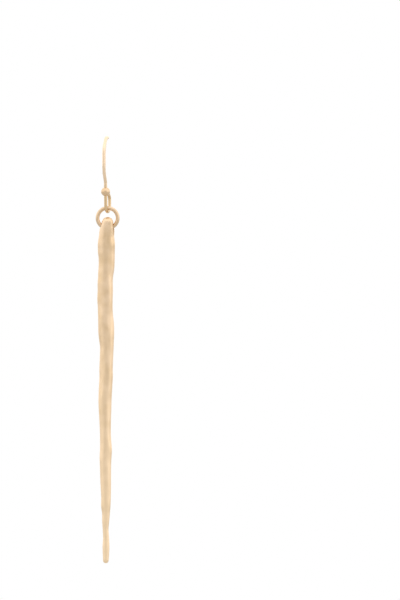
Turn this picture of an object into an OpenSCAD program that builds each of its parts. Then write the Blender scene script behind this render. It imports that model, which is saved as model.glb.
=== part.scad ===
// Drop earring: a fish-hook ear wire with a bead and a closed loop, a round jump ring,
// and a long hammered bar whose cast eye hangs on the ring. Millimetres, +Z up, the
// front towards -Y. The origin is the underside of the ear wire at its highest point.

/* [Ear wire] */
// Thickness of the ear wire
wire_d = 0.76; // [0.6:0.02:0.86]
// Turn of the hook's flat side away from straight on
hook_turn = 15.6; // [0:0.1:30]
// Bend radius over the crown, in front of the highest point
crown_bend_r = 1.4; // [1:0.1:2.5]
// Share of the quarter turn that the crown bend takes, in degrees
crown_angle = 51; // [45:1:60]
// Length of the straight slope between the crown and the front leg
shoulder_l = 1.3; // [0.5:0.1:1.6]
// Bend radius where the front leg leaves that slope
shoulder_bend_r = 3.3; // [2.5:0.1:5]
// Length of the level stretch at the highest point
crown_l = 0.3; // [0.1:0.05:1]
// Length of the straight front leg
front_leg_l = 2.8; // [2:0.1:5]
// Angle of the jog that brings the wire back over the bead
jog_angle = 27; // [20:1:35]
// Length of the straight stretch of the jog
jog_l = 1.4; // [1:0.1:2]
// Bend radius where the jog leaves the front leg
jog_start_r = 6; // [4:0.1:7]
// Bend radius where the jog ends, over the bead
jog_end_r = 1.2; // [1:0.1:2]
// Angle at which the wire runs down through the bead
bead_lean = 2; // [0:1:6]
// Length of the straight stretch from the jog through the bead to the loop
bead_leg_l = 5.15; // [4.6:0.05:6]
// Radius of the loop's middle line
loop_r = 1.66; // [1.5:0.02:1.8]
// Length of the straight stretch behind the loop
loop_rise_l = 1.2; // [0.5:0.1:1.3]
// Bend radius where the loop's end turns in over the ring
loop_close_r = 1.2; // [1:0.1:2]
// How far the loop's end leans in behind the bead, in degrees
loop_close_angle = 55; // [40:1:60]
// Length of the straight stretch that ends the loop
loop_end_l = 1.3; // [0.8:0.1:1.4]
// Bend radius behind the highest point
rear_bend_r = 4; // [3:0.1:5]
// Radius of the small sideways bend that brings the rear leg behind the front one
side_bend_r = 1.5; // [1.5:0.1:4]
// Angle of that sideways bend
side_bend_angle = 27; // [0:0.5:35]
// Length of the straight rear leg
rear_leg_l = 4.6; // [4:0.1:10]
// Length of the filed bevel at the wire's ends
wire_bevel = 0.14; // [0.05:0.01:0.3]

/* [Bead] */
// Diameter of the bead above the loop
bead_d = 2.15; // [1.8:0.05:2.5]
// Running clearance round the wire in the bead, on the radius
bead_clear = 0.04; // [0.02:0.01:0.1]
// Distance from the jog down to the bead's middle, along the wire
bead_drop = 2; // [1.6:0.05:2.2]

/* [Jump ring] */
// Outer diameter of the jump ring
ring_od = 5.7; // [5.5:0.1:6.6]
// Thickness of the jump ring's wire
ring_wire_d = 0.9; // [0.7:0.02:0.96]
// Gap left where one piece hangs on the next
hang_gap = 0.06; // [0.03:0.01:0.15]

/* [Bar] */
// Length of the bar from the top of its head to its tip
bar_l = 82.5; // [60:0.5:110]
// Greatest width of the bar
bar_w = 4; // [3.4:0.1:5]
// Greatest depth of the bar
bar_t = 3; // [2.6:0.1:4]
// Distance from the bar's axis to the middle of its eye, sideways
head_shift = 0.45; // [0:0.05:0.6]
// Fullness of the cross-section, where 2 is an ellipse and more is squarer
fullness = 2.3; // [2:0.1:3]
// Width of the tongue that folds over the ring
tongue_w = 2.66; // [2:0.02:2.8]
// Depth of the head, from the tongue's face to the back
head_t = 2.9; // [2.7:0.05:3.4]
// Step from the tongue's face back to the shoulder on its left
step_t = 0.2; // [0.16:0.02:0.6]
// Metal over the eye, up to the top of the head
crown_wall = 1.6; // [1:0.05:2.2]
// Width of the eye that the ring runs through, from front to back
eye_w = 1.76; // [1.7:0.02:2]
// Play of the ring's wire in the eye, up and down together
eye_play = 0.18; // [0.18:0.02:0.4]
// Width of the slit left under the eye, where the tongue closes on the bar
slit_w = 0.42; // [0.3:0.02:0.6]
// Depth of the slit below the eye's mouths
slit_h = 3.1; // [2.4:0.1:4]
// Turn of the slit, which brings its right mouth forward, in degrees
slit_turn = 14; // [0:1:20]

/* [Hammering] */
// Depth of the deepest hammer mark
hammer_depth = 0.12; // [0:0.02:0.3]
// Number of light hammer marks spread evenly round the bar
light_marks = 30; // [0:1:80]
// Depth of the light marks as a share of the deepest
light_share = 0.2; // [0:0.05:0.6]

/* [Hidden] */

GOLD = "#e0c29c";
ROUND = 48;
wire_r = wire_d / 2;
ring_wire_r = ring_wire_d / 2;
ring_r = ring_od / 2 - ring_wire_r;

// The ear wire is a chain of straight and bent stretches. Each row holds the straight
// length, then the radius, angle and roll of the bend after it. Straight stretches are
// thinner by a hair and run a little way into the bends, so that all join as one solid.
HAIR = 0.002;
RUN_IN = 0.04;
LINK = 0.12;
LENGTH = 0;
RADIUS = 1;
ANGLE = 2;
ROLL = 3;
FRONT_CHAIN = [
    [0, crown_bend_r, crown_angle, 0],
    [shoulder_l, shoulder_bend_r, 90 - crown_angle, 0],
    [front_leg_l, jog_start_r, jog_angle, 0],
    [jog_l, jog_end_r, jog_angle - bead_lean, 180],
    [bead_leg_l, loop_r, 180 - bead_lean, 180],
    [loop_rise_l, loop_close_r, loop_close_angle, 0],
    [loop_end_l, 0, 0, 0],
];
REAR_CHAIN = [
    [0, side_bend_r, side_bend_angle, 90],
    [LINK, rear_bend_r, 90, -90],
    [rear_leg_l, 0, 0, 0],
];

// Where a flat chain has come to: rearward distance, height and heading, with the
// heading counted from straight forward through straight down (90) to rearward (180).
// A roll of 180 turns the bending side over for that row and the ones after it.
function step_straight(at, length) =
    [at[0] - length * cos(at[2]), at[1] - length * sin(at[2]), at[2]];
function step_bend(at, radius, angle, side) =
    let (turned = at[2] + side * angle)
    [
        at[0] - side * radius * (sin(turned) - sin(at[2])),
        at[1] + side * radius * (cos(turned) - cos(at[2])),
        turned,
    ];
function walk(chain, rows, at, side, i = 0) =
    i >= rows ? at :
    let (
        row = chain[i],
        turned_side = row[ROLL] == 180 ? -side : side,
        straight = step_straight(at, row[LENGTH])
    )
    walk(chain, rows, step_bend(straight, row[RADIUS], row[ANGLE], turned_side), turned_side, i + 1);

START = [-crown_l / 2, 0, 0];
jog_end = walk(FRONT_CHAIN, 4, START, 1);
bead_at = step_straight(jog_end, bead_drop);
loop_start = step_straight(jog_end, bead_leg_l);
loop_centre = [
    loop_start[0] - loop_r * cos(loop_start[2] + 90),
    loop_start[1] - loop_r * sin(loop_start[2] + 90),
];

// Places of the hanging pieces, in the part's own frame
function plane_x(rearward) = rearward * sin(hook_turn);
function plane_y(rearward) = rearward * cos(hook_turn);
hang_x = plane_x(loop_centre[0]);
hang_y = plane_y(loop_centre[0]);
loop_bottom_z = wire_r + loop_centre[1] - loop_r;
ring_z = loop_bottom_z + wire_r + hang_gap + ring_wire_r - ring_r;
eye_wire_z = ring_z - ring_r;

// The ring's wire climbs from the middle of the eye to the eye's mouths, at the sides
// of the tongue where the shoulders swell it most.
BLEND_POWER = 9;
mouth_angle = asin(tongue_w / 2 * 2 ^ (1 / BLEND_POWER) / ring_r);
mouth_rise = ring_r * (1 - cos(mouth_angle));
mouth_top_z = eye_wire_z + mouth_rise + ring_wire_r / cos(mouth_angle) + hang_gap;
bar_top_z = mouth_top_z + crown_wall;
bar_x = hang_x - head_shift;
eye_h = ring_wire_d + eye_play;
eye_sag = eye_play / 2 - hang_gap;

// Sections of the bar from its top (0) to its tip (1). Left and right are shares of
// half the width, front and back of half the depth, all from the bar's axis. Ridge is
// how far the front's crest stands to the right, as a share of half the width.
AT = 0;
LEFT = 1;
RIGHT = 2;
FRONT = 3;
BACK = 4;
RIDGE = 5;
SECTIONS = [
    [0.000, 0.20, 0.50, 0.10, 0.70, 0.00],
    [0.010, 0.30, 0.66, 0.12, 0.84, 0.00],
    [0.018, 0.50, 0.84, 0.16, 0.92, 0.00],
    [0.026, 0.62, 0.96, 0.22, 0.96, 0.00],
    [0.034, 0.72, 1.03, 0.30, 0.97, 0.00],
    [0.046, 0.77, 1.01, 0.45, 0.98, -0.06],
    [0.058, 0.83, 1.00, 0.67, 0.98, -0.14],
    [0.069, 0.91, 1.07, 0.80, 1.00, -0.12],
    [0.081, 0.96, 1.11, 0.92, 1.00, -0.08],
    [0.092, 0.95, 1.10, 0.985, 1.00, -0.06],
    [0.104, 0.94, 1.09, 0.99, 0.98, -0.07],
    [0.115, 0.87, 1.09, 0.99, 0.96, -0.03],
    [0.133, 0.85, 1.07, 0.98, 0.95, 0.02],
    [0.150, 0.88, 1.03, 0.96, 0.96, 0.01],
    [0.162, 0.93, 0.96, 0.95, 0.97, -0.02],
    [0.173, 0.93, 0.88, 0.96, 0.97, 0.01],
    [0.190, 0.99, 0.85, 0.97, 0.95, 0.05],
    [0.214, 0.98, 0.87, 0.98, 0.93, 0.10],
    [0.237, 1.02, 0.84, 0.97, 0.92, 0.12],
    [0.260, 0.96, 0.83, 0.96, 0.93, 0.08],
    [0.289, 0.92, 0.90, 0.94, 0.95, -0.06],
    [0.300, 0.91, 0.97, 0.93, 0.96, -0.07],
    [0.320, 0.90, 1.01, 0.93, 0.96, -0.04],
    [0.335, 0.89, 1.02, 0.94, 0.95, -0.02],
    [0.346, 0.84, 1.01, 0.94, 0.94, 0.00],
    [0.358, 0.78, 0.98, 0.94, 0.93, -0.01],
    [0.375, 0.69, 0.96, 0.93, 0.92, 0.04],
    [0.398, 0.71, 0.91, 0.91, 0.91, 0.04],
    [0.439, 0.77, 0.85, 0.90, 0.90, 0.13],
    [0.462, 0.76, 0.86, 0.89, 0.90, 0.13],
    [0.485, 0.81, 0.80, 0.88, 0.89, 0.03],
    [0.508, 0.86, 0.75, 0.88, 0.88, -0.04],
    [0.531, 0.89, 0.70, 0.87, 0.86, -0.09],
    [0.554, 0.85, 0.68, 0.86, 0.85, -0.09],
    [0.577, 0.79, 0.64, 0.85, 0.84, -0.10],
    [0.623, 0.70, 0.62, 0.83, 0.82, -0.11],
    [0.646, 0.69, 0.67, 0.82, 0.81, -0.10],
    [0.670, 0.69, 0.75, 0.81, 0.80, -0.16],
    [0.693, 0.74, 0.70, 0.79, 0.78, -0.17],
    [0.716, 0.71, 0.65, 0.77, 0.76, -0.13],
    [0.762, 0.66, 0.64, 0.73, 0.72, -0.09],
    [0.808, 0.55, 0.62, 0.68, 0.68, -0.02],
    [0.837, 0.56, 0.57, 0.64, 0.64, -0.04],
    [0.854, 0.45, 0.51, 0.58, 0.58, -0.06],
    [0.877, 0.44, 0.43, 0.53, 0.54, -0.10],
    [0.889, 0.41, 0.38, 0.50, 0.51, -0.10],
    [0.900, 0.38, 0.34, 0.46, 0.47, -0.04],
    [0.924, 0.33, 0.40, 0.44, 0.44, -0.02],
    [0.952, 0.39, 0.45, 0.45, 0.45, -0.03],
    [0.981, 0.35, 0.39, 0.43, 0.43, -0.03],
    [1.000, 0.33, 0.34, 0.40, 0.40, -0.03],
];

// Hammer marks: place from the top (0) to the tip (1), turn in degrees from the front
// towards the right, half length as a share of the width, half width in degrees, and
// depth as a share of the deepest mark.
TURN = 1;
LONG = 2;
WIDE = 3;
DEEP = 4;
MARKS = [
    [0.098, -50, 1.33, 26, 0.45],
    [0.140, 42, 1.37, 30, 0.95],
    [0.146, -44, 1.42, 26, 0.60],
    [0.205, 50, 1.33, 28, 0.40],
    [0.250, -50, 1.23, 28, 0.60],
    [0.294, 42, 0.99, 28, 1.00],
    [0.350, -52, 1.14, 30, 0.70],
    [0.385, 30, 0.85, 24, 0.50],
    [0.430, -34, 0.80, 24, 0.70],
    [0.455, 52, 1.14, 28, 0.50],
    [0.495, -46, 0.68, 24, 0.60],
    [0.530, -62, 0.65, 24, 0.60],
    [0.545, 40, 1.04, 28, 0.60],
    [0.605, -30, 0.95, 26, 0.50],
    [0.625, 55, 0.85, 28, 0.45],
    [0.670, -38, 0.85, 26, 0.65],
    [0.700, 36, 0.95, 28, 0.50],
    [0.760, -44, 0.95, 28, 0.50],
    [0.800, 32, 0.66, 26, 0.45],
    [0.850, -50, 0.57, 30, 0.35],
    [0.126, 160, 1.42, 34, 0.70],
    [0.180, -150, 1.33, 32, 0.80],
    [0.235, 130, 1.14, 30, 0.70],
    [0.310, -170, 1.23, 34, 0.75],
    [0.370, 145, 1.14, 32, 0.80],
    [0.420, -135, 1.04, 30, 0.70],
    [0.480, 170, 1.04, 34, 0.70],
    [0.560, -160, 1.14, 34, 0.65],
    [0.640, 140, 0.95, 32, 0.60],
    [0.730, -145, 0.95, 34, 0.55],
    [0.800, 165, 0.85, 34, 0.45],
];
LIGHT_FROM = 0.10;
LIGHT_SPAN = 0.84;
LIGHT_LONG = 0.90;
LIGHT_WIDE = 26;
GOLDEN_TURN = 137.5;
LIGHT = [
    for (i = [0:1:light_marks - 1])
    [LIGHT_FROM + LIGHT_SPAN * (i + 0.5) / light_marks, i * GOLDEN_TURN, LIGHT_LONG, LIGHT_WIDE, light_share]
];
ALL_MARKS = concat(MARKS, LIGHT);

SIDES = 28;
RINGS = 118;
DOME_RINGS = 6;
TIP_RINGS = 4;
TONGUE_FULLNESS = 4.2;
TONGUE_FADE_FROM = 0.075;
TONGUE_FADE_TO = 0.13;
CENTRE_FROM = 0.05;
CENTRE_TO = 0.13;
SHOULDER_FULLNESS = 4.5;
SHOULDER_FADE_FROM = 0.04;
SHOULDER_FADE_TO = 0.10;
STEP_FROM = 0.010;
STEP_TO = 0.024;
STEP_FADE_FROM = 0.04;
STEP_FADE_TO = 0.13;
STEP_BLEND = 0.15;

// Catmull-Rom value of one column of a table of sections
function row_below(table, at, i = 0) =
    i >= len(table) - 2 || table[i + 1][AT] >= at ? i : row_below(table, at, i + 1);
function slope(table, column, i) =
    let (before = table[max(i - 1, 0)], after = table[min(i + 1, len(table) - 1)])
    (after[column] - before[column]) / (after[AT] - before[AT]);
function column_at(table, column, at) =
    let (
        i = row_below(table, at),
        span = table[i + 1][AT] - table[i][AT],
        t = (at - table[i][AT]) / span,
        start = table[i][column],
        end = table[i + 1][column],
        out = slope(table, column, i) * span,
        into = slope(table, column, i + 1) * span
    )
    start * (2 * t ^ 3 - 3 * t ^ 2 + 1) + end * (3 * t ^ 2 - 2 * t ^ 3)
    + out * (t ^ 3 - 2 * t ^ 2 + t) + into * (t ^ 3 - t ^ 2);
function eased(from, to, value) =
    let (t = min(1, max(0, (value - from) / (to - from)))) t * t * (3 - 2 * t);

// Distance to an oval of four unlike half axes in one direction
function oval_r(angle, left, right, front, back, power) =
    let (
        across = abs(cos(angle)) / (cos(angle) < 0 ? left : right),
        deep = abs(sin(angle)) / (sin(angle) < 0 ? front : back)
    )
    (across ^ power + deep ^ power) ^ (-1 / power);

// How much one hammer mark takes off at a place, 0 to 1
function turned_by(a, b) = let (d = abs(a - b) % 360) min(d, 360 - d);
function mark_share(mark, at, turn) =
    let (
        along = (at - mark[AT]) * bar_l / (mark[LONG] * bar_w),
        round = turned_by(turn, mark[TURN]) / mark[WIDE],
        far = along * along + round * round
    )
    far >= 1 ? 0 : (1 - far) ^ 2;
function marks_depth(at, turn) =
    hammer_depth * max([for (mark = ALL_MARKS) mark[DEEP] * mark_share(mark, at, turn)]);

// The bar's surface in direction angle (0 right, 90 back, 270 front) at a place
// along it, with the section shrunk by the rounding of its two ends. The shoulder on
// the left stands nearly as far forward as the tongue and hides the eye's mouth there.
function centre_at(at) = head_shift * (1 - eased(CENTRE_FROM, CENTRE_TO, at));
function surface_r(at, angle, rounding) =
    let (
        centre = centre_at(at),
        square = 1 - eased(SHOULDER_FADE_FROM, SHOULDER_FADE_TO, at),
        front = column_at(SECTIONS, FRONT, at) * bar_t / 2,
        fade = 1 - eased(TONGUE_FADE_FROM, TONGUE_FADE_TO, at),
        stepped = eased(STEP_FROM, STEP_TO, at) * (1 - eased(STEP_FADE_FROM, STEP_FADE_TO, at)),
        behind = head_t / 2 - step_t - front,
        left_front = front + stepped * (behind + sqrt(behind ^ 2 + STEP_BLEND ^ 2)) / 2,
        body = oval_r(
            angle,
            column_at(SECTIONS, LEFT, at) * bar_w / 2 + centre,
            column_at(SECTIONS, RIGHT, at) * bar_w / 2 - centre,
            cos(angle) < 0 ? left_front : front,
            column_at(SECTIONS, BACK, at) * bar_t / 2,
            fullness + square * (SHOULDER_FULLNESS - fullness)
        ),
        tongue = fade * oval_r(
            angle, tongue_w / 2, tongue_w / 2, head_t / 2, head_t / 2, TONGUE_FULLNESS
        ),
        shoulder = at < SECTIONS[1][AT] ? 0 : body
    )
    rounding * (tongue ^ BLEND_POWER + shoulder ^ BLEND_POWER) ^ (1 / BLEND_POWER);

dome_h = tongue_w / 2;
tip_h = column_at(SECTIONS, LEFT, 1) * bar_w / 2;
function dome_rounding(depth) = depth >= dome_h ? 1 : sqrt(1 - (1 - depth / dome_h) ^ 2);
function tip_rounding(depth) =
    depth <= bar_l - tip_h ? 1 : sqrt(max(0, 1 - ((depth - bar_l + tip_h) / tip_h) ^ 2));
STATIONS = concat(
    [for (i = [1:1:DOME_RINGS]) dome_h * (1 - cos(90 * i / DOME_RINGS))],
    [for (i = [1:1:RINGS]) dome_h + (bar_l - dome_h - tip_h) * i / RINGS],
    [for (i = [1:1:TIP_RINGS - 1]) bar_l - tip_h * (1 - sin(90 * i / TIP_RINGS))]
);

function ring_points(depth) =
    let (
        at = depth / bar_l,
        rounding = dome_rounding(depth) * tip_rounding(depth),
        ridge = column_at(SECTIONS, RIDGE, at) * bar_w / 2,
        half_t = bar_t / 2
    )
    [
        for (i = [0:1:SIDES - 1])
        let (
            angle = 360 * i / SIDES,
            r = surface_r(at, angle, rounding) - rounding * marks_depth(at, angle + 90),
            y = r * sin(angle),
            lean = y < 0 ? ridge * (y / half_t) ^ 2 : 0
        )
        [centre_at(at) + r * cos(angle) + lean, y, -depth]
    ];

module bar_skin() {
    rings = [for (depth = STATIONS) ring_points(depth)];
    count = len(rings);
    points = concat(
        [[centre_at(0), 0, 0]],
        [for (ring = rings) each ring],
        [[centre_at(1), 0, -bar_l]]
    );
    last = len(points) - 1;
    faces = concat(
        [for (i = [0:1:SIDES - 1]) [0, 1 + (i + 1) % SIDES, 1 + i]],
        [
            for (k = [0:1:count - 2])
            for (i = [0:1:SIDES - 1])
            let (a = 1 + k * SIDES + i, b = 1 + k * SIDES + (i + 1) % SIDES)
            each [[a, b + SIDES, a + SIDES], [a, b, b + SIDES]]
        ],
        [
            for (i = [0:1:SIDES - 1])
            let (base = last - SIDES)
            [base + i, base + (i + 1) % SIDES, last]
        ]
    );
    polyhedron(points, faces);
}

// The eye through the head curves along with the ring, and is rounded where it bears.
EYE_SIDES = 20;
EYE_POWER = 0.7;
function squared(share) = sign(share) * abs(share) ^ EYE_POWER;
EYE_SECTION = [
    for (i = [0:1:EYE_SIDES - 1])
    let (turn = 360 * (i + 0.5) / EYE_SIDES)
    [ring_r + eye_h / 2 * squared(cos(turn)), eye_w / 2 * squared(sin(turn))]
];

module eye_cut() {
    translate([0, 0, ring_z - eye_sag])
        rotate([90, 0, 0])
            rotate_extrude($fn = 2 * ROUND) polygon(EYE_SECTION);
    slit_z = mouth_top_z - slit_h;
    rotate([0, 0, -slit_turn])
        translate([0, -slit_w / 2, slit_z])
            cube([bar_w, slit_w, eye_wire_z - slit_z]);
}

// One stretch of wire after another: straight, then bent
module wire_bend(radius, angle) {
    translate([radius, 0, 0])
        rotate([90, 0, 180])
            rotate_extrude(angle = angle, $fn = 2 * ROUND)
                translate([radius, 0]) circle(d = wire_d, $fn = ROUND);
}

module wire_straight(length) {
    translate([0, 0, -RUN_IN]) cylinder(r = wire_r - HAIR, h = length + 2 * RUN_IN, $fn = ROUND);
}

module wire_end() {
    translate([0, 0, -RUN_IN])
        cylinder(r1 = wire_r - 2 * HAIR, r2 = wire_r - wire_bevel, h = wire_bevel + RUN_IN, $fn = ROUND);
}

module wire_run(chain, i = 0) {
    if (i < len(chain)) {
        length = chain[i][LENGTH];
        radius = chain[i][RADIUS];
        angle = chain[i][ANGLE];
        if (length > 0) wire_straight(length);
        translate([0, 0, length]) rotate([0, 0, chain[i][ROLL]]) {
            if (angle > 0) wire_bend(radius, angle);
            translate([radius * (1 - cos(angle)), 0, radius * sin(angle)])
                rotate([0, angle, 0]) wire_run(chain, i + 1);
        }
    } else {
        wire_end();
    }
}

module in_hook_plane() {
    rotate([0, 0, 90 - hook_turn]) translate([0, 0, wire_r]) children();
}

module ear_hook() {
    color(GOLD) in_hook_plane() {
        translate([-crown_l / 2, 0, 0]) rotate([0, 90, 0]) wire_straight(crown_l);
        translate([-crown_l / 2, 0, 0]) rotate([180, 90, 0]) wire_run(FRONT_CHAIN);
        translate([crown_l / 2, 0, 0]) rotate([0, 90, 0]) wire_run(REAR_CHAIN);
    }
}

module hook_bead() {
    color(GOLD) in_hook_plane()
        translate([bead_at[0], 0, bead_at[1]])
            rotate([0, 90 - bead_at[2], 0])
                difference() {
                    sphere(d = bead_d, $fn = ROUND);
                    cylinder(d = wire_d + 2 * bead_clear, h = 2 * bead_d, center = true, $fn = ROUND);
                }
}

module jump_ring() {
    color(GOLD) translate([hang_x, hang_y, ring_z])
        rotate([90, 0, 0])
            rotate_extrude($fn = 2 * ROUND)
                translate([ring_r, 0]) circle(d = ring_wire_d, $fn = ROUND);
}

module hammered_bar() {
    color(GOLD) difference() {
        translate([bar_x, hang_y, bar_top_z]) bar_skin();
        translate([hang_x, hang_y, 0]) eye_cut();
    }
}

ear_hook();
hook_bead();
jump_ring();
hammered_bar();
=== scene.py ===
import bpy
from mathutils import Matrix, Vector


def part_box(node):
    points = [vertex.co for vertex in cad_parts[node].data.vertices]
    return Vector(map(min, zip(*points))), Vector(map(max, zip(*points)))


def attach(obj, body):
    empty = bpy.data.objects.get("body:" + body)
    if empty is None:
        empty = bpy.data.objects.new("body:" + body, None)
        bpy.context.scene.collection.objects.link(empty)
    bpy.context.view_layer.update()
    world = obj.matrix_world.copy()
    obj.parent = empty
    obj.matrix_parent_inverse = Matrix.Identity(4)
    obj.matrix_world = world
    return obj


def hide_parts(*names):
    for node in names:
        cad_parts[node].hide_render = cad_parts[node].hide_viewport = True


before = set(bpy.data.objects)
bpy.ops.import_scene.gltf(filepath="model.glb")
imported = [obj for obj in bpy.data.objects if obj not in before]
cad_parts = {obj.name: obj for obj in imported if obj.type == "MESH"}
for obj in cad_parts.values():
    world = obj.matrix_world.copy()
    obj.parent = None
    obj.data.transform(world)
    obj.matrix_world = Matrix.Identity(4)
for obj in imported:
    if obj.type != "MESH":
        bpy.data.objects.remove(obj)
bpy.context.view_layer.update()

# A drop earring: a beaded fish-hook ear wire, a jump ring and a long hammered bar, all in
# satin champagne gold. Metres, +Z up, the front towards -Y.

import logging
import math
from abc import ABC, abstractmethod
from collections.abc import Callable
from dataclasses import dataclass, field
from enum import Enum

import bmesh
import bpy
from mathutils import Matrix, Vector

MM = 0.001
# Points of a modelled piece that are closer than this become one
MERGE_MM = 0.0005
PHOTO_MM_PER_PX = 0.238
PHOTO_HEIGHT_PX = 600
LOG = logging.getLogger("earring")


def linear(hex_colour: str) -> tuple[float, float, float, float]:
    """Turns an sRGB hex colour into the linear colour that a shader takes.

    Args:
        hex_colour: Six hex digits, with or without a leading hash.

    Returns:
        Red, green, blue and alpha, linear, with alpha 1.
    """
    digits = hex_colour.lstrip("#")
    shares = [int(digits[i:i + 2], 16) / 255 for i in (0, 2, 4)]
    red, green, blue = (
        share / 12.92 if share <= 0.04045 else ((share + 0.055) / 1.055) ** 2.4
        for share in shares
    )
    return (red, green, blue, 1.0)


def turn(degrees: float, axis: str) -> Matrix:
    """Returns a turn about the X, Y or Z axis."""
    return Matrix.Rotation(math.radians(degrees), 4, axis)


def off_axis(place: Vector) -> float:
    """Returns how far a place is from the Z axis."""
    return math.hypot(place.x, place.y)


def node_middle(node: str) -> Vector:
    """Returns the middle of one of the frame's solids, in metres."""
    low, high = (Vector(corner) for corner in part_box(node))
    return (low + high) / 2


def deselect_all() -> None:
    """Leaves object mode with nothing selected."""
    if bpy.context.mode != "OBJECT":
        bpy.ops.object.mode_set(mode="OBJECT")
    bpy.ops.object.select_all(action="DESELECT")


def select_only(piece: bpy.types.Object) -> None:
    """Makes one object the only selected one, and the active one."""
    deselect_all()
    piece.select_set(True)
    bpy.context.view_layer.objects.active = piece


def select_points(piece: bpy.types.Object, wanted: Callable[[Vector], bool]) -> None:
    """Selects the vertices of the piece in edit mode whose place passes a test.

    Args:
        piece: The object being edited.
        wanted: Takes a vertex's place and says whether it is selected.
    """
    bpy.ops.mesh.select_mode(type="VERT")
    bpy.ops.mesh.select_all(action="DESELECT")
    mesh = bmesh.from_edit_mesh(piece.data)
    for vertex in mesh.verts:
        if wanted(vertex.co):
            vertex.select_set(True)
    mesh.select_flush(True)
    bmesh.update_edit_mesh(piece.data)


def apply_modifier(piece: bpy.types.Object, kind: str, **settings: object) -> None:
    """Adds a modifier to a piece and applies it at once.

    Args:
        piece: The object that gets the modifier.
        kind: The modifier's type, such as "REMESH".
        **settings: Properties to set on the modifier.
    """
    select_only(piece)
    modifier = piece.modifiers.new(kind.title(), kind)
    for name, value in settings.items():
        setattr(modifier, name, value)
    bpy.ops.object.modifier_apply(modifier=modifier.name)


def finish_shape(piece: bpy.types.Object, sharp_degrees: float) -> None:
    """Settles a piece: faces outwards, smooth shading, and its place in its mesh.

    Args:
        piece: The finished object, in object mode.
        sharp_degrees: Edges that turn more than this stay sharp.
    """
    select_only(piece)
    bpy.ops.object.transform_apply(location=True, rotation=True, scale=True)
    bpy.ops.object.mode_set(mode="EDIT")
    bpy.ops.mesh.select_all(action="SELECT")
    bpy.ops.mesh.remove_doubles(threshold=MERGE_MM * MM)
    bpy.ops.mesh.normals_make_consistent(inside=False)
    bpy.ops.object.mode_set(mode="OBJECT")
    bpy.ops.object.shade_smooth_by_angle(angle=math.radians(sharp_degrees))


def add_node(
    tree: bpy.types.NodeTree,
    kind: str,
    settings: dict[str, object] | None = None,
    inputs: dict[str | int, object] | None = None,
) -> bpy.types.Node:
    """Adds one shader node with its settings, fixed inputs and links.

    Args:
        tree: The node tree that gets the node.
        kind: The node's type, such as "ShaderNodeTexNoise".
        settings: Properties to set on the node.
        inputs: Socket name or number to a fixed value, or to an output socket to link from.

    Returns:
        The new node.
    """
    node = tree.nodes.new(kind)
    for name, value in (settings or {}).items():
        setattr(node, name, value)
    for name, value in (inputs or {}).items():
        if isinstance(value, bpy.types.NodeSocket):
            tree.links.new(value, node.inputs[name])
        else:
            node.inputs[name].default_value = value
    return node


class Polish(Enum):
    """How far a plated piece was rubbed after plating: its roughness."""

    BRIGHT = 0.24
    SOFT = 0.30
    SATIN = 0.36


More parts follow.
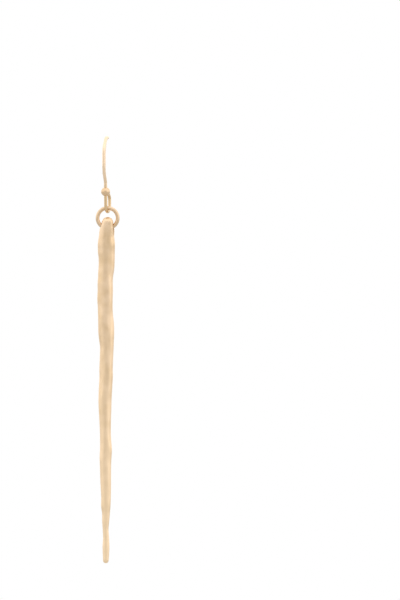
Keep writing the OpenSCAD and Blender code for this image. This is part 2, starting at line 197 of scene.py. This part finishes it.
@dataclass(frozen=True)
class ChampagneGold:
    """Pale champagne gold, electroplated over brass and left satin.

    To the eye it is warm and pale with soft highlights. The plate is deeper in faint
    patches and painted paler towards one end, a painted highlight for the brighter light
    there, and its surface has the fine pebble of a blasted casting with polishing strokes
    along the piece. Sizes are in millimetres.
    """

    polish: Polish
    light: str = "#f0d6b7"
    deep: str = "#e5c9a4"
    # A paler tone and the two heights between which it takes over: a painted highlight, for the
    # brighter light at that end
    painted_light_tone: str = "#f8dfbd"
    painted_light_from_mm: float = -40.0
    painted_light_to_mm: float = -105.0
    patch_mm: float = 2.4
    patch_edges: tuple[float, float] = (0.32, 0.68)
    rub_edges: tuple[float, float] = (0.3, 0.7)
    roughness_swing: float = 0.05
    grain_mm: float = 0.11
    grain_depth_mm: float = 0.0022
    stroke_mm: float = 0.05
    stroke_depth_mm: float = 0.0010
    stroke_squeeze: float = 0.06

    def material(self) -> bpy.types.Material:
        """Builds the metal.

        Returns:
            The material, named for its process.
        """
        material = bpy.data.materials.new(f"champagne_gold_plate_{self.polish.name.lower()}")
        material.use_nodes = True
        tree = material.node_tree
        shader = tree.nodes["Principled BSDF"]
        shader.inputs["Metallic"].default_value = 1.0
        place = add_node(tree, "ShaderNodeTexCoord").outputs["Object"]
        # Broad, faint patches, as plating has over a worked surface
        patches = add_node(
            tree, "ShaderNodeTexNoise",
            inputs={"Vector": place, "Scale": 1 / (self.patch_mm * MM), "Detail": 2.0,
                    "Roughness": 0.5},
        ).outputs["Fac"]
        tree.links.new(self.plate(tree, place, patches), shader.inputs["Base Color"])
        tree.links.new(self.rubbing(tree, patches), shader.inputs["Roughness"])
        tree.links.new(self.relief(tree, place), shader.inputs["Normal"])
        return material

    def plate(
        self, tree: bpy.types.NodeTree, place: bpy.types.NodeSocket,
        patches: bpy.types.NodeSocket,
    ) -> bpy.types.NodeSocket:
        """Colours the plate: deeper in patches, and paler towards one end as a painted highlight.

        Args:
            tree: The material's node tree.
            place: The place on the piece.
            patches: The patches' pattern, from 0 to 1.

        Returns:
            The colour.
        """
        ramp = add_node(tree, "ShaderNodeValToRGB", inputs={"Fac": patches})
        stops = zip(ramp.color_ramp.elements, self.patch_edges, (self.deep, self.light))
        for stop, edge, colour in stops:
            stop.position = edge
            stop.color = linear(colour)
        # Painted highlight: the colour turns paler between two heights, standing in for the
        # brighter light at that end
        height = add_node(tree, "ShaderNodeSeparateXYZ", inputs={"Vector": place}).outputs["Z"]
        painted_light_share = add_node(
            tree, "ShaderNodeMapRange",
            inputs={"Value": height, "From Min": self.painted_light_from_mm * MM,
                    "From Max": self.painted_light_to_mm * MM, "To Min": 0.0, "To Max": 1.0},
        ).outputs["Result"]
        # A colour mix has its factor at socket 0, its colours at 6 and 7, its result at 2
        return add_node(
            tree, "ShaderNodeMix", {"data_type": "RGBA"},
            {0: painted_light_share, 6: ramp.outputs["Color"], 7: linear(self.painted_light_tone)},
        ).outputs[2]

    def rubbing(
        self, tree: bpy.types.NodeTree, patches: bpy.types.NodeSocket
    ) -> bpy.types.NodeSocket:
        """Varies the satin, which is rubbed a little brighter here and there.

        Args:
            tree: The material's node tree.
            patches: The patches' pattern, from 0 to 1.

        Returns:
            The roughness.
        """
        return add_node(
            tree, "ShaderNodeMapRange",
            inputs={"Value": patches,
                    "From Min": self.rub_edges[0], "From Max": self.rub_edges[1],
                    "To Min": self.polish.value - self.roughness_swing,
                    "To Max": self.polish.value + self.roughness_swing},
        ).outputs["Result"]

    def relief(
        self, tree: bpy.types.NodeTree, place: bpy.types.NodeSocket
    ) -> bpy.types.NodeSocket:
        """Raises the pebble of the blasted casting and the polishing strokes over it.

        Args:
            tree: The material's node tree.
            place: The place on the piece.

        Returns:
            The surface normal.
        """
        # Blasting leaves a pebble of about 0.05 mm, drawn at twice that so that it shows
        grain = add_node(
            tree, "ShaderNodeTexNoise",
            inputs={"Vector": place, "Scale": 1 / (self.grain_mm * MM), "Detail": 3.0,
                    "Roughness": 0.6},
        ).outputs["Fac"]
        pebble = add_node(
            tree, "ShaderNodeBump",
            inputs={"Height": grain, "Distance": self.grain_depth_mm * MM, "Strength": 1.0},
        ).outputs["Normal"]
        # Strokes are long down the piece and fine across it
        stretched = add_node(
            tree, "ShaderNodeMapping",
            inputs={"Vector": place, "Scale": (1.0, 1.0, self.stroke_squeeze)},
        ).outputs["Vector"]
        strokes = add_node(
            tree, "ShaderNodeTexNoise",
            inputs={"Vector": stretched, "Scale": 1 / (self.stroke_mm * MM), "Detail": 2.0,
                    "Roughness": 0.5},
        ).outputs["Fac"]
        return add_node(
            tree, "ShaderNodeBump",
            inputs={"Height": strokes, "Distance": self.stroke_depth_mm * MM, "Strength": 1.0,
                    "Normal": pebble},
        ).outputs["Normal"]


# The wire, bead and ring take deeper tones than the bar: painted shade, for the darker look that
# these thin round pieces have under the lights
# Drawn brass wire, burnished before plating: nearly without grain, and painted paler above the
# bead as a painted highlight
DRAWN_WIRE = ChampagneGold(
    Polish.BRIGHT, light="#e3c79f", deep="#dabe96",
    painted_light_tone="#f3dabd", painted_light_from_mm=-13.0, painted_light_to_mm=-9.0,
    grain_depth_mm=0.0004, stroke_depth_mm=0.0002, roughness_swing=0.02,
)
# Turned brass, tumbled before plating: even and smooth
TURNED_BEAD = ChampagneGold(
    Polish.SOFT, light="#e8ceb0", deep="#dcc09c",
    grain_depth_mm=0.0006, stroke_depth_mm=0.0003, roughness_swing=0.02,
)
# Wire wound into a ring, soldered and rubbed by hand: a little more grain than the bead
SOLDERED_RING = ChampagneGold(
    Polish.SOFT, light="#e5cbad", deep="#d9bd99",
    grain_depth_mm=0.0010, stroke_depth_mm=0.0004, roughness_swing=0.03,
)
# Cast brass, blasted and brushed before plating: the softest shine of the four, painted paler
# towards the tip as a painted highlight for the light from below
BLASTED_BAR = ChampagneGold(Polish.SATIN)


@dataclass
class GoldPiece(ABC):
    """What each piece has: its metal, the body that it rides on and its solid's name."""

    finish: ChampagneGold
    body: str
    node: str

    @abstractmethod
    def build(self) -> bpy.types.Object:
        """Models the piece and returns it finished."""

    def dress(self, piece: bpy.types.Object) -> None:
        """Gives the finished piece its metal and ties it to the frame.

        Args:
            piece: The finished piece.
        """
        piece.data.materials.append(self.finish.material())
        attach(piece, self.body)
        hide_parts(self.node)


@dataclass(frozen=True)
class Stretch:
    """A straight stretch of wire in millimetres, then a roll and a bend in degrees."""

    length: float
    radius: float = 0.0
    angle: float = 0.0
    roll: float = 0.0


@dataclass
class EarWire(GoldPiece):
    """The fish-hook ear wire: one round wire from the rear tip to the loop under the bead.

    Sizes are in millimetres and degrees, and same_place is a share of the wire's radius.
    """

    finish: ChampagneGold = DRAWN_WIRE
    body: str = "hook"
    node: str = "ear_hook"
    wire_r: float = 0.38
    hook_turn: float = 15.6
    crown_l: float = 0.3
    bevel: float = 0.14
    cap_degrees: tuple[float, ...] = (30, 55, 78)
    sides: int = 32
    degrees_per_step: float = 4.0
    same_place: float = 0.01
    sharp_degrees: float = 35
    front: tuple[Stretch, ...] = (
        Stretch(0.0, 1.4, 51.0),
        Stretch(1.3, 3.3, 39.0),
        Stretch(2.8, 6.0, 27.0),
        Stretch(1.4, 1.2, 25.0, 180.0),
        Stretch(5.15, 1.66, 178.0, 180.0),
        Stretch(1.2, 1.2, 55.0),
        Stretch(1.3),
    )
    rear: tuple[Stretch, ...] = (
        Stretch(0.0, 1.5, 27.0, 90.0),
        Stretch(0.12, 4.0, 90.0, -90.0),
        Stretch(4.6),
    )

    def plane(self) -> Matrix:
        """Returns the hook's own plane: X rearward along it, Z up, at the wire's middle."""
        return Matrix.Translation((0, 0, self.wire_r * MM)) @ turn(90 - self.hook_turn, "Z")

    def run(self, start: Matrix, stretches: tuple[Stretch, ...]) -> None:
        """Draws the selected end loop along straight and bent stretches, in edit mode.

        Args:
            start: Frame of the loop: local Z is the heading, local X the bending side.
            stretches: The stretches to follow.
        """
        at = start
        for stretch in stretches:
            if stretch.length > 0:
                step = at.to_3x3() @ Vector((0, 0, stretch.length * MM))
                bpy.ops.mesh.extrude_region_move(TRANSFORM_OT_translate={"value": step})
                at = Matrix.Translation(step) @ at
            at = at @ turn(stretch.roll, "Z")
            if stretch.angle > 0:
                angle = math.radians(stretch.angle)
                centre = at @ Vector((stretch.radius * MM, 0, 0))
                axis = at.to_3x3() @ Vector((0, 1, 0))
                # The spin operator counts its angle the other way round from a rotation
                bpy.ops.mesh.spin(
                    steps=max(2, round(stretch.angle / self.degrees_per_step)),
                    angle=-angle, center=centre, axis=axis,
                )
                bend = Matrix.Rotation(angle, 4, axis)
                at = Matrix.Translation(centre) @ bend @ Matrix.Translation(-centre) @ at
        self.cap(at)

    def cap(self, at: Matrix) -> None:
        """Rounds off the wire's end in small steps and closes it.

        Args:
            at: Frame of the end loop.
        """
        heading = at.to_3x3() @ Vector((0, 0, 1))
        done = 0.0
        for degrees in self.cap_degrees:
            rise = self.bevel * math.sin(math.radians(degrees))
            wide = 1 - self.bevel / self.wire_r * (1 - math.cos(math.radians(degrees)))
            before = 1 - self.bevel / self.wire_r * (1 - math.sqrt(1 - (done / self.bevel) ** 2))
            step = heading * (rise - done) * MM
            bpy.ops.mesh.extrude_region_move(TRANSFORM_OT_translate={"value": step})
            end = at.to_translation() + heading * rise * MM
            bpy.ops.transform.resize(value=(wide / before,) * 3, center_override=end)
            done = rise
        bpy.ops.mesh.edge_face_add()

    def build(self) -> bpy.types.Object:
        """Models the wire, forward and rearward from a circle at the crown.

        Returns:
            The finished piece.
        """
        plane = self.plane()
        half = self.crown_l / 2 * MM
        forward = plane @ Matrix.Translation((-half, 0, 0)) @ turn(90, "Y") @ turn(180, "X")
        rearward = plane @ Matrix.Translation((half, 0, 0)) @ turn(90, "Y")
        deselect_all()
        bpy.ops.mesh.primitive_circle_add(
            vertices=self.sides, radius=self.wire_r * MM, fill_type="NOTHING",
            location=forward.to_translation(), rotation=forward.to_euler(),
        )
        wire = bpy.context.object
        wire.name = "beaded_hook_wire"
        select_only(wire)
        bpy.ops.object.transform_apply(location=True, rotation=True, scale=True)
        first = [vertex.co.copy() for vertex in wire.data.vertices]
        bpy.ops.object.mode_set(mode="EDIT")
        bpy.ops.mesh.select_mode(type="EDGE")
        bpy.ops.mesh.select_all(action="SELECT")
        self.run(forward, self.front)
        limit = self.same_place * self.wire_r * MM
        select_points(wire, lambda co: any((co - place).length < limit for place in first))
        across = rearward.to_translation() - forward.to_translation()
        bpy.ops.mesh.select_mode(type="EDGE")
        bpy.ops.mesh.extrude_region_move(TRANSFORM_OT_translate={"value": across})
        self.run(rearward, self.rear)
        bpy.ops.object.mode_set(mode="OBJECT")
        finish_shape(wire, self.sharp_degrees)
        return wire


@dataclass
class WireBead(GoldPiece):
    """The drilled bead on the wire, just above the loop.

    Sizes are in millimetres and degrees. The sphere's first band outside the bore lies
    within rim_reach of it. From each side the bore's wall is drawn in by wall_share of half
    its height. Both inner ends are then within middle_share of that half and within
    bore_reach of the bore, where they are bridged.
    """

    finish: ChampagneGold = TURNED_BEAD
    body: str = "hook"
    node: str = "hook_bead"
    radius: float = 1.075
    bore_r: float = 0.42
    rim: float = 0.05
    lean: float = -2.0
    segments: int = 64
    bands: int = 40
    rim_reach: float = 0.09
    bore_reach: float = 0.02
    wall_share: float = 0.5
    middle_share: float = 0.7
    sharp_degrees: float = 50
    wire: EarWire = field(default_factory=EarWire)

    def build(self) -> bpy.types.Object:
        """Models the bead round its bore, then tilts it onto the wire.

        Returns:
            The finished piece.
        """
        deselect_all()
        bpy.ops.mesh.primitive_uv_sphere_add(
            segments=self.segments, ring_count=self.bands, radius=self.radius * MM,
            location=(0, 0, 0),
        )
        bead = bpy.context.object
        bead.name = "hook_wire_bead"
        select_only(bead)
        bpy.ops.object.mode_set(mode="EDIT")
        self.drill(bead)
        bpy.ops.object.mode_set(mode="OBJECT")
        bead.matrix_world = (
            Matrix.Translation(node_middle(self.node))
            @ self.wire.plane().to_3x3().to_4x4()
            @ turn(self.lean, "Y")
        )
        finish_shape(bead, self.sharp_degrees)
        return bead

    def drill(self, bead: bpy.types.Object) -> None:
        """Opens the bore along Z, with a small countersunk rim on each side, in edit mode.

        Args:
            bead: The bead being edited.
        """
        select_points(bead, lambda co: off_axis(co) < self.bore_r * MM)
        bpy.ops.mesh.delete(type="VERT")
        half_h = math.sqrt(self.radius**2 - self.bore_r**2)
        for side in (1, -1):
            select_points(
                bead,
                lambda co: co.z * side > 0
                and off_axis(co) < (self.bore_r + self.rim_reach) * MM,
            )
            bpy.ops.mesh.select_mode(type="EDGE")
            bpy.ops.mesh.extrude_region_move(
                TRANSFORM_OT_translate={"value": (0, 0, -side * self.rim * MM)}
            )
            self.gather(bead, self.bore_r * MM)
            bpy.ops.mesh.extrude_region_move(
                TRANSFORM_OT_translate={"value": (0, 0, -side * half_h * MM * self.wall_share)}
            )
        select_points(
            bead,
            lambda co: abs(co.z) < self.middle_share * half_h * MM
            and off_axis(co) < (self.bore_r + self.bore_reach) * MM,
        )
        bpy.ops.mesh.select_mode(type="EDGE")
        bpy.ops.mesh.bridge_edge_loops()

    @staticmethod
    def gather(bead: bpy.types.Object, radius: float) -> None:
        """Draws the selected rim in to a radius round the bore's axis, in edit mode.

        Args:
            bead: The bead being edited.
            radius: The radius in metres.
        """
        mesh = bmesh.from_edit_mesh(bead.data)
        for vertex in mesh.verts:
            if vertex.select:
                share = radius / off_axis(vertex.co)
                vertex.co.x *= share
                vertex.co.y *= share
        bmesh.update_edit_mesh(bead.data)


@dataclass
class JumpRing(GoldPiece):
    """The round ring that hangs in the loop, soldered shut.

    Sizes are in millimetres and degrees. The seam's waist takes in the points within
    seam_reach of its middle.
    """

    finish: ChampagneGold = SOLDERED_RING
    body: str = "ring"
    node: str = "jump_ring"
    middle_r: float = 2.40
    wire_r: float = 0.45
    seam_degrees: float = 148.0
    seam_depth: float = 0.03
    seam_reach: float = 0.03
    segments: int = 144
    sides: int = 36
    sharp_degrees: float = 60

    def build(self) -> bpy.types.Object:
        """Models the ring with the faint waist of its soldered seam.

        Returns:
            The finished piece.
        """
        middle = node_middle(self.node)
        deselect_all()
        bpy.ops.mesh.primitive_torus_add(
            major_segments=self.segments, minor_segments=self.sides,
            major_radius=self.middle_r * MM, minor_radius=self.wire_r * MM,
            location=middle, rotation=(math.radians(90), 0, 0),
        )
        ring = bpy.context.object
        ring.name = "soldered_jump_ring"
        select_only(ring)
        bpy.ops.object.transform_apply(location=True, rotation=True, scale=True)
        bpy.ops.object.mode_set(mode="EDIT")
        seam = math.radians(self.seam_degrees)
        heading = Vector((math.cos(seam), 0, math.sin(seam)))
        select_points(
            ring,
            lambda co: (co - middle).normalized().dot(heading) > 0
            and abs((co - middle).cross(heading).y) < self.seam_reach * MM,
        )
        waist = 1 - self.seam_depth / self.wire_r
        bpy.ops.transform.resize(
            value=(waist,) * 3, center_override=middle + heading * self.middle_r * MM
        )
        bpy.ops.object.mode_set(mode="OBJECT")
        finish_shape(ring, self.sharp_degrees)
        return ring


@dataclass
class HammeredBar(GoldPiece):
    """The long cast bar: the frame's solid with its edges run soft, as plating leaves them.

    The solid's loose triangles are merged at merge_mm. Softening takes some rounds, each of
    which moves a point by soften of the way to its neighbours.
    """

    finish: ChampagneGold = BLASTED_BAR
    body: str = "bar"
    node: str = "hammered_bar"
    merge_mm: float = 0.0002
    voxel_mm: float = 0.11
    soften: float = 0.5
    rounds: int = 10
    ripple_mm: float = 2.5
    ripple_depth_mm: float = 0.012

    def build(self) -> bpy.types.Object:
        """Models the bar from a merged copy of the frame's solid.

        Returns:
            The finished piece.
        """
        deselect_all()
        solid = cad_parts[self.node]
        bar = bpy.data.objects.new("hammered_bar_casting", solid.data.copy())
        bpy.context.scene.collection.objects.link(bar)
        bar.data.materials.clear()
        select_only(bar)
        bpy.ops.object.mode_set(mode="EDIT")
        bpy.ops.mesh.select_all(action="SELECT")
        bpy.ops.mesh.remove_doubles(threshold=self.merge_mm * MM)
        bpy.ops.object.mode_set(mode="OBJECT")
        apply_modifier(bar, "REMESH", mode="VOXEL", voxel_size=self.voxel_mm * MM)
        apply_modifier(bar, "SMOOTH", factor=self.soften, iterations=self.rounds)
        ripple = bpy.data.textures.new("hammer_ripple", "CLOUDS")
        ripple.noise_scale = self.ripple_mm * MM
        ripple.noise_depth = 1
        apply_modifier(
            bar, "DISPLACE", texture=ripple, texture_coords="LOCAL",
            strength=self.ripple_depth_mm * MM, mid_level=0.5,
        )
        select_only(bar)
        bpy.ops.object.shade_smooth()
        return bar


@dataclass(frozen=True)
class SoftBox:
    """One soft box that faces the earring: place, width by height and target in metres."""

    name: str
    place: tuple[float, float, float]
    size: tuple[float, float]
    watts: float
    target: tuple[float, float, float] = (0.0, 0.0, -0.05)

    def hang(self) -> None:
        """Hangs the box, unseen by the lens."""
        light = bpy.data.lights.new(self.name, "AREA")
        light.shape = "RECTANGLE"
        light.size, light.size_y = self.size
        light.energy = self.watts
        box = bpy.data.objects.new(self.name, light)
        bpy.context.scene.collection.objects.link(box)
        box.location = self.place
        aim = Vector(self.target) - Vector(self.place)
        box.rotation_euler = aim.to_track_quat("-Z", "Y").to_euler()
        box.visible_camera = False


@dataclass
class Studio:
    """A white sweep, a room that is brighter overhead, soft boxes and a long lens in front.

    Sizes are in metres. The room's values are how strongly it glows. Its reaches say how
    far along a heading, from 0 to 1, the glow goes on changing, and front_spread is the
    power that gathers its dim part behind the lens.
    """

    floor_z: float = -0.128
    floor_half: float = 6.0
    floor_colour: str = "#cbcbc9"
    backdrop_colour: str = "#ffffff"
    room_colour: str = "#fffdfa"
    room_front: float = 0.71
    room_sides: float = 1.24
    room_back: float = 1.30
    room_below: float = 0.90
    room_above: float = 1.04
    front_spread: float = 6.0
    back_reach: float = 0.9
    height_reach: float = 0.8
    lens_distance: float = 3.0
    lens_clip: tuple[float, float] = (0.05, 50.0)
    sensor_mm: float = 36.0
    image_centre_px: tuple[float, float] = (200.0, 300.0)
    origin_px: tuple[float, float] = (107.1, 139.2)
    boxes: tuple[SoftBox, ...] = (
        SoftBox("left_box", (-0.85, -0.45, 0.05), (0.6, 1.2), 0.1),
        SoftBox("right_box", (0.95, -0.45, 0.05), (0.6, 1.2), 0.6),
        SoftBox("top_box", (0.0, -0.6, 0.75), (1.0, 0.5), 0.30),
        SoftBox("tip_card", (0.0, -0.15, -0.118), (0.30, 0.016), 0.002, (0.0, 0.0, -0.1)),
    )

    def camera(self) -> None:
        """Stands the long lens where the photo's was: straight on, the earring left of centre."""
        across = (self.image_centre_px[0] - self.origin_px[0]) * PHOTO_MM_PER_PX * MM
        down = (self.image_centre_px[1] - self.origin_px[1]) * PHOTO_MM_PER_PX * MM
        lens = bpy.data.cameras.new("long_lens")
        lens.sensor_fit = "VERTICAL"
        lens.sensor_width = self.sensor_mm
        lens.sensor_height = self.sensor_mm
        frame_height = PHOTO_HEIGHT_PX * PHOTO_MM_PER_PX * MM
        lens.lens = self.sensor_mm * self.lens_distance / frame_height
        lens.clip_start, lens.clip_end = self.lens_clip
        camera = bpy.data.objects.new("long_lens", lens)
        bpy.context.scene.collection.objects.link(camera)
        camera.location = (across, -self.lens_distance, -down)
        camera.rotation_euler = (math.radians(90), 0, 0)
        bpy.context.scene.camera = camera

    def floor(self) -> None:
        """Lays the plain pale floor: white to the lens, matte grey in the metal."""
        deselect_all()
        bpy.ops.mesh.primitive_plane_add(size=2 * self.floor_half, location=(0, 0, self.floor_z))
        floor = bpy.context.object
        floor.name = "studio_floor"
        material = bpy.data.materials.new("matte_white_floor")
        material.use_nodes = True
        tree = material.node_tree
        shader = tree.nodes["Principled BSDF"]
        shader.inputs["Base Color"].default_value = linear(self.floor_colour)
        shader.inputs["Roughness"].default_value = 0.9
        shader.inputs["Specular IOR Level"].default_value = 0.1
        seen = add_node(tree, "ShaderNodeLightPath").outputs["Is Camera Ray"]
        white = add_node(
            tree, "ShaderNodeEmission",
            inputs={"Color": linear(self.backdrop_colour), "Strength": 1.0},
        )
        mix = add_node(tree, "ShaderNodeMixShader", inputs={"Fac": seen})
        tree.links.new(shader.outputs["BSDF"], mix.inputs[1])
        tree.links.new(white.outputs["Emission"], mix.inputs[2])
        tree.links.new(mix.outputs["Shader"], tree.nodes["Material Output"].inputs["Surface"])
        floor.data.materials.append(material)

    def world(self) -> None:
        """Sets a white backdrop for the lens and a softer room for the metal."""
        world = bpy.data.worlds.new("white_room")
        bpy.context.scene.world = world
        world.use_nodes = True
        tree = world.node_tree
        tree.nodes.clear()
        seen = add_node(tree, "ShaderNodeLightPath").outputs["Is Camera Ray"]
        backdrop = add_node(
            tree, "ShaderNodeBackground",
            inputs={"Color": linear(self.backdrop_colour), "Strength": 1.0},
        )
        room = add_node(
            tree, "ShaderNodeBackground",
            inputs={"Color": linear(self.room_colour), "Strength": self.glow(tree)},
        )
        mix = add_node(tree, "ShaderNodeMixShader", inputs={"Fac": seen})
        tree.links.new(room.outputs["Background"], mix.inputs[1])
        tree.links.new(backdrop.outputs["Background"], mix.inputs[2])
        add_node(tree, "ShaderNodeOutputWorld", inputs={"Surface": mix.outputs["Shader"]})

    def glow(self, tree: bpy.types.NodeTree) -> bpy.types.NodeSocket:
        """Works out the room's glow: dimmest behind the lens, a little brighter above.

        Args:
            tree: The world's node tree.

        Returns:
            The strength of the glow for each heading.
        """
        heading = add_node(tree, "ShaderNodeTexCoord").outputs["Generated"]
        way = add_node(tree, "ShaderNodeSeparateXYZ", inputs={"Vector": heading})
        forward = add_node(
            tree, "ShaderNodeMath", {"operation": "MULTIPLY", "use_clamp": True},
            {0: way.outputs["Y"], 1: -1.0},
        ).outputs["Value"]
        toward_lens = add_node(
            tree, "ShaderNodeMath", {"operation": "POWER"}, {0: forward, 1: self.front_spread}
        ).outputs["Value"]
        around = add_node(
            tree, "ShaderNodeMapRange",
            inputs={"Value": toward_lens, "From Min": 0.0, "From Max": 1.0,
                    "To Min": self.room_sides, "To Max": self.room_front},
        ).outputs["Result"]
        upward = add_node(
            tree, "ShaderNodeMapRange", {"interpolation_type": "SMOOTHSTEP"},
            {"Value": way.outputs["Z"],
             "From Min": -self.height_reach, "From Max": self.height_reach,
             "To Min": self.room_below, "To Max": self.room_above},
        ).outputs["Result"]
        behind = add_node(
            tree, "ShaderNodeMapRange", {"interpolation_type": "SMOOTHSTEP"},
            {"Value": way.outputs["Y"], "From Min": 0.0, "From Max": self.back_reach,
             "To Min": 1.0, "To Max": self.room_back / self.room_sides},
        ).outputs["Result"]
        all_round = add_node(
            tree, "ShaderNodeMath", {"operation": "MULTIPLY"}, {0: around, 1: upward}
        ).outputs["Value"]
        return add_node(
            tree, "ShaderNodeMath", {"operation": "MULTIPLY"}, {0: all_round, 1: behind}
        ).outputs["Value"]

    def set_up(self) -> None:
        """Builds the whole studio, with its colours shown as they are."""
        self.camera()
        self.floor()
        self.world()
        for box in self.boxes:
            box.hang()
        scene = bpy.context.scene
        scene.view_settings.view_transform = "Standard"
        scene.view_settings.look = "None"


def main() -> None:
    """Builds the studio and the earring, and reports each piece."""
    logging.basicConfig(level=logging.INFO, format="%(name)s: %(message)s")
    Studio().set_up()
    for part in (EarWire(), WireBead(), JumpRing(), HammeredBar()):
        piece = part.build()
        part.dress(piece)
        piece.data.calc_loop_triangles()
        triangles = len(piece.data.loop_triangles)
        LOG.info("%s: %d triangles, on %s", piece.name, triangles, part.body)


if __name__ == "__main__":
    main()
